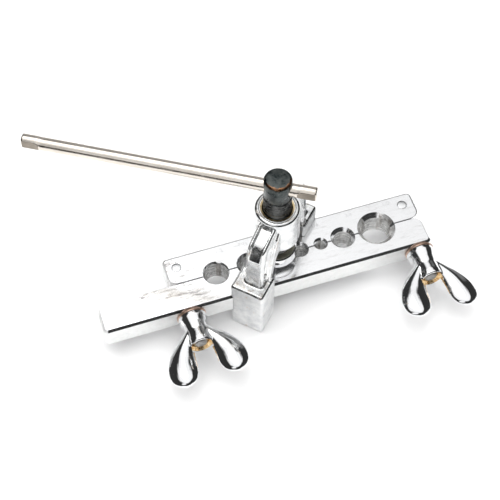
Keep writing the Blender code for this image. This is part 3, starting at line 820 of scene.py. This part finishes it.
def wing_nut(side, face):
    """A barrel and two wings run together, with a threaded bore worn to the copper at its mouth."""
    spin = face @ turned_by(NUT_TWIST[side], "Z")
    base = 2 * GAP + WASHER_THICK
    tip = base + NUT_LONG
    barrel = turned("barrel", [(0.0, base - 1.0), (7.7, base - 1.0), (7.8, base + 1.6, 1.0),
                               (6.8, base + 5.0, 3.0), (6.3, base + 9.0, 4.0),
                               (6.7, tip - 3.0, 3.0), (6.7, tip, 1.0), (0.0, tip)], spin, 72)
    nut = joined(f"wing_nut_{side}_forged", [barrel, wing(-1, spin), wing(1, spin)])
    melted(nut, 0.28, 6)
    root = 4.4
    bore = threaded("cutter", root, 0.35, STUD_PITCH, base + 1.2, tip - 1.8,
                    [(0.0, base - 2.0), (root + 2.0, base - 2.0), (root, base + 0.5),
                     (root, base + 1.2)],
                    [(root, tip - 1.8), (root + 0.25, tip - 1.5), (root + 1.55, tip + 0.2),
                     (root + 1.55, tip + 3.0), (0.0, tip + 3.0)], spin, 48, 6)
    foot = turned("cutter", [(0.0, base - 4.0), (12.0, base - 4.0), (12.0, base), (0.0, base)],
                  spin, 48)
    cut(nut, [foot, bore])
    piece_done(shaded(nut, 35.0), CHROME, f"nut_{side}", f"wing_nut_{side}")
    other_finish(nut, BRASSY, spin, lambda middle, normal: (
        math.hypot(middle.x, middle.y) < 5.8 and middle.z > base + 1.0))


def clamps():
    for side, x in STUD_X.items():
        face = crosswise(x, -BAR_WIDTH, STUD_Z)
        stud(side)
        stud_pin(side)
        washer(side, face)
        wing_nut(side, face)


# --- yoke ----------------------------------------------------------------------------------------

JAW_TOP = 10.0
JAW_BOTTOM = -25.75
JAW_HALF = 9.5
JAW_OFFSET = 1.2
JAW_INNER, JAW_OUTER = 17.6, 33.4
HUB_TOP = 47.4
HUB_BOTTOM = 22.6
ARM_HALF = 5.2
FLANGE_HALF = 6.9
ARM_OUTSIDE = ((10.0, 45.6), (14.5, 43.8, 3.0), (25.4, 40.0, 4.5), (27.1, 28.0, 8.0),
               (28.0, JAW_TOP - 3.0))
ARM_INSIDE = ((17.8, JAW_TOP - 3.0), (17.8, 11.0, 3.0), (12.8, HUB_BOTTOM + 0.5, 2.0))
FLANGE_OUTSIDE = ((9.0, 44.0), (13.4, 37.0, 6.0), (19.4, 24.0, 8.0), (22.6, JAW_TOP - 2.0))
FLANGE_INSIDE = ((18.3, JAW_TOP - 2.0), (18.3, 11.3, 3.0), (13.2, HUB_BOTTOM + 1.0, 2.0))
# The hollow down each arm's back, and the grooves in its sides
POCKET = ((11.0, 42.4), (14.0, 41.4, 2.0), (21.6, 38.8, 5.0), (27.3, 30.4), (31.0, 30.0),
          (31.0, 44.0), (13.0, 50.0))
POCKET_HALF = 3.4
GROOVE = ((16.0, 36.5, 1.4), (22.8, 35.6, 2.2), (25.2, 17.0, 1.2), (22.2, 16.0, 1.2),
          (19.8, 25.0, 4.0))


def mirrored(corners, way):
    return [(way * corner[0], *corner[1:]) for corner in corners]


def arch(name, outside, inside, half):
    """Both arms at once, from the outline of the right one."""
    right = outside + inside
    outline = fillet(mirrored(right, 1) + mirrored(reversed(right), -1), True, 8)
    return prism(name, outline, -half, half, YOKE_FRAME, "Y")


def side_cutter(corners, way, half, offset=0.0):
    """A cutter through an arm, drawn on the right arm, whose middle is offset to the side."""
    outline = fillet(mirrored(corners, way), True, 5)
    return prism("cutter", outline, offset - half, offset + half, YOKE_FRAME, "Y")


def roughened(piece, depth, size):
    """Moves the skin in and out a little, as a forging's is."""
    bm = bmesh.new()
    bm.from_mesh(piece.data)
    bm.normal_update()
    for vertex in bm.verts:
        spot = vertex.co / (size * MM)
        vertex.co += vertex.normal * noise.noise(spot) * depth * MM
    bm.to_mesh(piece.data)
    bm.free()


def forging():
    """Arms, flanges, hub and jaws run together."""
    arms = beveled(arch("arms", ARM_OUTSIDE, ARM_INSIDE, ARM_HALF), 1.8, 4, 50.0)
    flanges = beveled(arch("flanges", FLANGE_OUTSIDE, FLANGE_INSIDE, FLANGE_HALF), 0.9, 3, 50.0)
    cutters = []
    for way in (-1, 1):
        cutters.append(side_cutter(POCKET, way, POCKET_HALF))
        for side in (-1, 1):
            cutters.append(side_cutter(GROOVE, way, 2.0, side * (ARM_HALF + 0.6)))
    cut(arms, cutters)
    hub = turned("hub", [(0.0, HUB_TOP + 1.0), (12.0, HUB_TOP + 1.0), (12.0, HUB_BOTTOM, 1.0),
                         (0.0, HUB_BOTTOM)], YOKE_FRAME, 72)
    shells = [arms, flanges, hub]
    for way in (-1, 1):
        inner, outer = sorted((way * JAW_INNER, way * JAW_OUTER))
        jaw = block("jaw", (inner, JAW_OFFSET - JAW_HALF, JAW_BOTTOM),
                    (outer, JAW_OFFSET + JAW_HALF, JAW_TOP), YOKE_FRAME)
        shells.append(beveled(jaw, 1.05, 1, 50.0))
    return melted(joined("yoke_forging", shells), 0.40, 4)


def yoke():
    """The forging, cut for the bars and the screw, with its hub's top turned round."""
    piece = forging()
    roughened(piece, 0.10, 3.0)
    cutters = []
    for way in (-1, 1):
        low, high = sorted((0.0, way * (BAR_WIDTH + GAP)))
        cutters.append(block("cutter", (-45.0, low, -BAR_THICK - GAP), (45.0, high, GAP)))
    cutters.append(turned("cutter", [(0.0, HUB_BOTTOM - 2.0), (9.7, HUB_BOTTOM - 2.0),
                                     (9.7, HUB_TOP - 0.3), (9.95, HUB_TOP + 0.1),
                                     (9.95, HUB_TOP + 3.0), (0.0, HUB_TOP + 3.0)], YOKE_FRAME, 72))
    cutters.append(turned("cutter", [(0.0, HUB_TOP), (10.5, HUB_TOP), (11.1, HUB_TOP - 0.2),
                                     (11.65, HUB_TOP - 0.65), (11.95, HUB_TOP - 1.3),
                                     (12.05, HUB_TOP - 2.2), (14.0, HUB_TOP - 3.4),
                                     (16.0, HUB_TOP + 3.0), (0.0, HUB_TOP + 3.0)],
                          YOKE_FRAME, 72))
    cut(piece, cutters)
    piece_done(shaded(piece, 35.0), FORGED, "yoke", "yoke")


def hub_bush():
    """The bush, whose rim is plated like the hub but for an oily ring round the screw."""
    oily = 9.0
    bush = turned("hub_bush_turned", [(8.0, HUB_TOP - 0.3, 0.15), (oily, HUB_TOP - 0.22),
                                      (9.6, HUB_TOP - 0.2, 0.3), (9.6, HUB_BOTTOM + 0.2, 0.3),
                                      (7.7, HUB_BOTTOM + 0.2, 0.2), (7.7, HUB_TOP - 0.6, 0.1)],
                  YOKE_FRAME, 72, True, 4)
    piece_done(shaded(bush, 40.0), BRONZE, "yoke", "hub_bush")
    other_finish(bush, FORGED, YOKE_FRAME, lambda middle, normal: (
        middle.z > HUB_TOP - 0.5 and math.hypot(middle.x, middle.y) > oily))


# --- screw, handle and cone ----------------------------------------------------------------------

def cone():
    """The flaring cone, with the pins that hang it on the screw and the ball it turns on."""
    body = turned("cone_polished", [
        (0.0, 1.2), (5.6, 1.2), (5.6, 12.0, 0.2), (6.0, 12.5, 0.2), (9.9, 12.5, 0.4),
        (10.7, 11.6, 0.4), (10.7, 5.5, 0.3), (10.4, 5.0, 0.3), (0.6, -4.8, 0.3), (0.0, -4.9)],
        YOKE_FRAME, 96)
    holes = []
    for hand, way in (("a", -1), ("b", 1)):
        place = YOKE_FRAME @ placed(0.0, way * 5.1, 9.0) @ turned_by(90.0, "Y")
        holes.append(turned("cutter", [(0.0, -12.0), (1.15, -12.0), (1.15, 12.0), (0.0, 12.0)],
                            place, 24))
        pin = turned(f"cone_pin_{hand}_peened", [(0.0, -8.9), (0.8, -8.9, 0.15), (1.0, -8.6, 0.2),
                                                 (1.0, 8.6, 0.2), (0.8, 8.9, 0.15), (0.0, 8.9)],
                     place, 24)
        piece_done(shaded(pin, 40.0), STEEL, "cone", f"cone_pin_{hand}")
    cut(body, holes)
    piece_done(shaded(body, 28.0, True), CHROME, "cone", "flaring_cone")
    # The top face: oily steel, darkened partly as painted shade from the hub above.
    other_finish(body, GREASED_AND_SHADED, YOKE_FRAME, lambda middle, normal: middle.z > 12.3)
    arc = [(1.6 * math.sin(math.pi * step / 16), -1.6 * math.cos(math.pi * step / 16))
           for step in range(17)]
    ball = turned("thrust_ball_ground", arc, YOKE_FRAME @ placed(z=3.1), 32)
    piece_done(shaded(ball, 60.0), STEEL, "cone", "thrust_ball")


def feed_screw():
    """The screw: neck, thread, groove and a head with a flared cross hole."""
    start, end = 13.8, 57.0
    screw = threaded("feed_screw_threaded", 7.4, 0.75, 2.0, start, end,
                     [(0.0, 5.0), (4.8, 5.0), (5.2, 5.4), (5.2, 7.5), (3.8, 7.5), (3.8, 10.5),
                      (5.2, 10.5), (5.2, 12.8), (6.4, 12.8), (7.4, start)],
                     [(7.4, end), (7.4, 57.3), (6.9, 57.7), (6.6, 58.0), (6.5, 58.4), (6.6, 58.8),
                      (7.1, 59.1), (7.3, 59.5), (7.3, 71.0), (7.22, 71.3), (7.05, 71.6),
                      (6.4, 72.2), (6.15, 72.36), (5.9, 72.4), (0.0, 72.4)], BAR_FRAME, 64, 10)
    hole = turned("cutter", [(0.0, -12.0), (6.0, -12.0), (3.85, -6.2), (3.85, 6.2), (6.0, 12.0),
                             (0.0, 12.0)], HANDLE_FRAME @ turned_by(90.0, "Y"), 48)
    cut(screw, [hole])
    piece_done(shaded(screw, 40.0), OXIDE, "screw", "feed_screw")


def handle():
    """The sliding rod: round, with both ends pressed to a tongue with two flat sides."""
    bm = bmesh.new()
    left, right, radius = -133.95, 19.95, 3.55
    steps = 56
    near_end = [0.0, 0.12, 0.35, 0.7, 1.2] + [2.0 + 0.5 * step for step in range(20)]
    plain = 13.0    # from each end to the round part
    places = [left + step for step in near_end]
    places += [left + plain + (right - left - 2 * plain) * step / 40 for step in range(41)]
    places += [right - step for step in reversed(near_end)]
    rings = []
    for x in places:
        from_end = min(x - left, right - x)
        pressed = min(max((10.5 - from_end) / 3.4, 0.0), 1.0)
        swell = pressed * pressed * (3 - 2 * pressed)
        flat = radius * (1.02 - 0.26 * pressed)
        rim = 1.0 - 0.10 * max(0.0, 1.0 - from_end / 0.7) ** 2
        ring = []
        for step in range(steps):
            angle = 2 * math.pi * step / steps
            y = radius * math.cos(angle) * (1.0 + 0.02 * swell)
            y = min(max(y, -flat), flat) * rim
            z = radius * math.sin(angle) * (1.0 + 0.09 * swell) * rim
            ring.append(bm.verts.new((x, y, z)))
        rings.append(ring)
    loft(bm, rings)
    rod = make("handle_rod", bm, HANDLE_FRAME)
    piece_done(shaded(rod, 22.0), NICKEL, "handle", "handle_bar")
    # The flat sides of the pressed ends are given the darker nickel as painted shade.
    other_finish(rod, PRESSED_SHADED, HANDLE_FRAME, lambda middle, normal: (
        abs(normal.y) > 0.9 and not left + 9.5 < middle.x < right - 9.5))


# --- camera, floor and light ---------------------------------------------------------------------

def camera():
    azimuth, elevation, roll = (math.radians(angle) for angle in (18.137, 57.617, -0.139))
    distance = 766.06
    forward = Vector((math.sin(azimuth) * math.cos(elevation),
                      math.cos(azimuth) * math.cos(elevation), -math.sin(elevation)))
    eye = bpy.data.objects.new("camera", bpy.data.cameras.new("camera"))
    bpy.context.scene.collection.objects.link(eye)
    eye.data.sensor_width = 36.0
    eye.data.lens = 101.80728
    eye.data.clip_start = 0.05
    eye.location = BAR_FRAME @ (Vector((-12.145, 8.128, 0.0)) * MM) - forward * distance * MM
    turn = forward.to_track_quat("-Z", "Y").to_matrix() @ Matrix.Rotation(roll, 3, "Z")
    eye.rotation_euler = turn.to_euler()
    bpy.context.scene.camera = eye


def floor():
    """A round white table, lit strongly enough that only the deeper shadows on it show."""
    bm = bmesh.new()
    bmesh.ops.create_circle(bm, cap_ends=True, segments=96, radius=650.0)
    table = make("floor", bm, Matrix.Identity(4))
    table.data.materials.append(Paint("pale_floor", (0.88, 0.88, 0.88), 0.7, 0.0).material)


def key_light():
    light = bpy.data.lights.new("key", "AREA")
    light.shape = "RECTANGLE"
    light.size, light.size_y = 0.9, 0.7
    light.energy = 4.0
    lamp = bpy.data.objects.new("key", light)
    bpy.context.scene.collection.objects.link(lamp)
    lamp.location = (-0.15, 0.35, 1.5)
    lamp.rotation_euler = (-lamp.location).to_track_quat("-Z", "Y").to_euler()


def surroundings():
    """A room lit from overhead and through a window to the front left, dark lower down.

    Matt surfaces get more of its light than mirroring ones, and the camera sees it white.
    """
    world = bpy.data.worlds.new("studio")
    bpy.context.scene.world = world
    world.use_nodes = True
    tree = world.node_tree

    def calculated(kind, operation, *values):
        node = tree.nodes.new(kind)
        node.operation = operation
        for value, socket in zip(values, node.inputs):
            if hasattr(value, "is_output"):
                tree.links.new(value, socket)
            else:
                socket.default_value = value
        return node

    def number(operation, *values):
        return calculated("ShaderNodeMath", operation, *values).outputs[0]

    def ramp(value, *stops):
        band = tree.nodes.new("ShaderNodeValToRGB")
        tree.links.new(value, band.inputs["Fac"])
        while len(band.color_ramp.elements) < len(stops):
            band.color_ramp.elements.new(0.5)
        for element, (place, level) in zip(band.color_ramp.elements, stops):
            element.position = place
            element.color = (level, level, level, 1.0)
        return band.outputs["Color"]

    def patch(towards, *stops):
        """A lit patch round one direction."""
        nearness = calculated("ShaderNodeVectorMath", "DOT_PRODUCT", direction, towards)
        return ramp(nearness.outputs["Value"], *stops)

    direction = tree.nodes.new("ShaderNodeTexCoord").outputs["Generated"]
    split = tree.nodes.new("ShaderNodeSeparateXYZ")
    tree.links.new(direction, split.inputs[0])
    ceiling = ramp(split.outputs["Z"], (0.0, 0.04), (0.71, 0.03), (0.79, 1.0), (1.0, 1.12))
    window = patch((-0.50, -0.65, 0.57), (0.957, 0.0), (0.975, 1.0))
    wall = patch((0.40, 0.88, 0.26), (0.86, 0.0), (0.95, 0.42))
    room = number("MAXIMUM", number("MAXIMUM", ceiling, window), wall)
    path = tree.nodes.new("ShaderNodeLightPath")
    gain = number("MULTIPLY_ADD", path.outputs["Is Diffuse Ray"], 1.9, 1.0)
    mix = tree.nodes.new("ShaderNodeMix")
    mix.data_type = "RGBA"
    tree.links.new(path.outputs["Is Camera Ray"], mix.inputs[0])
    tree.links.new(number("MULTIPLY", room, gain), mix.inputs[6])
    mix.inputs[7].default_value = (0.98, 0.98, 0.98, 1.0)
    tree.links.new(mix.outputs[2], tree.nodes["Background"].inputs["Color"])


camera()
bars()
dowels()
clamps()
yoke()
hub_bush()
cone()
feed_screw()
handle()
floor()
key_light()
surroundings()
bpy.context.scene.view_settings.view_transform = "Standard"
bpy.context.scene.view_settings.look = "None"
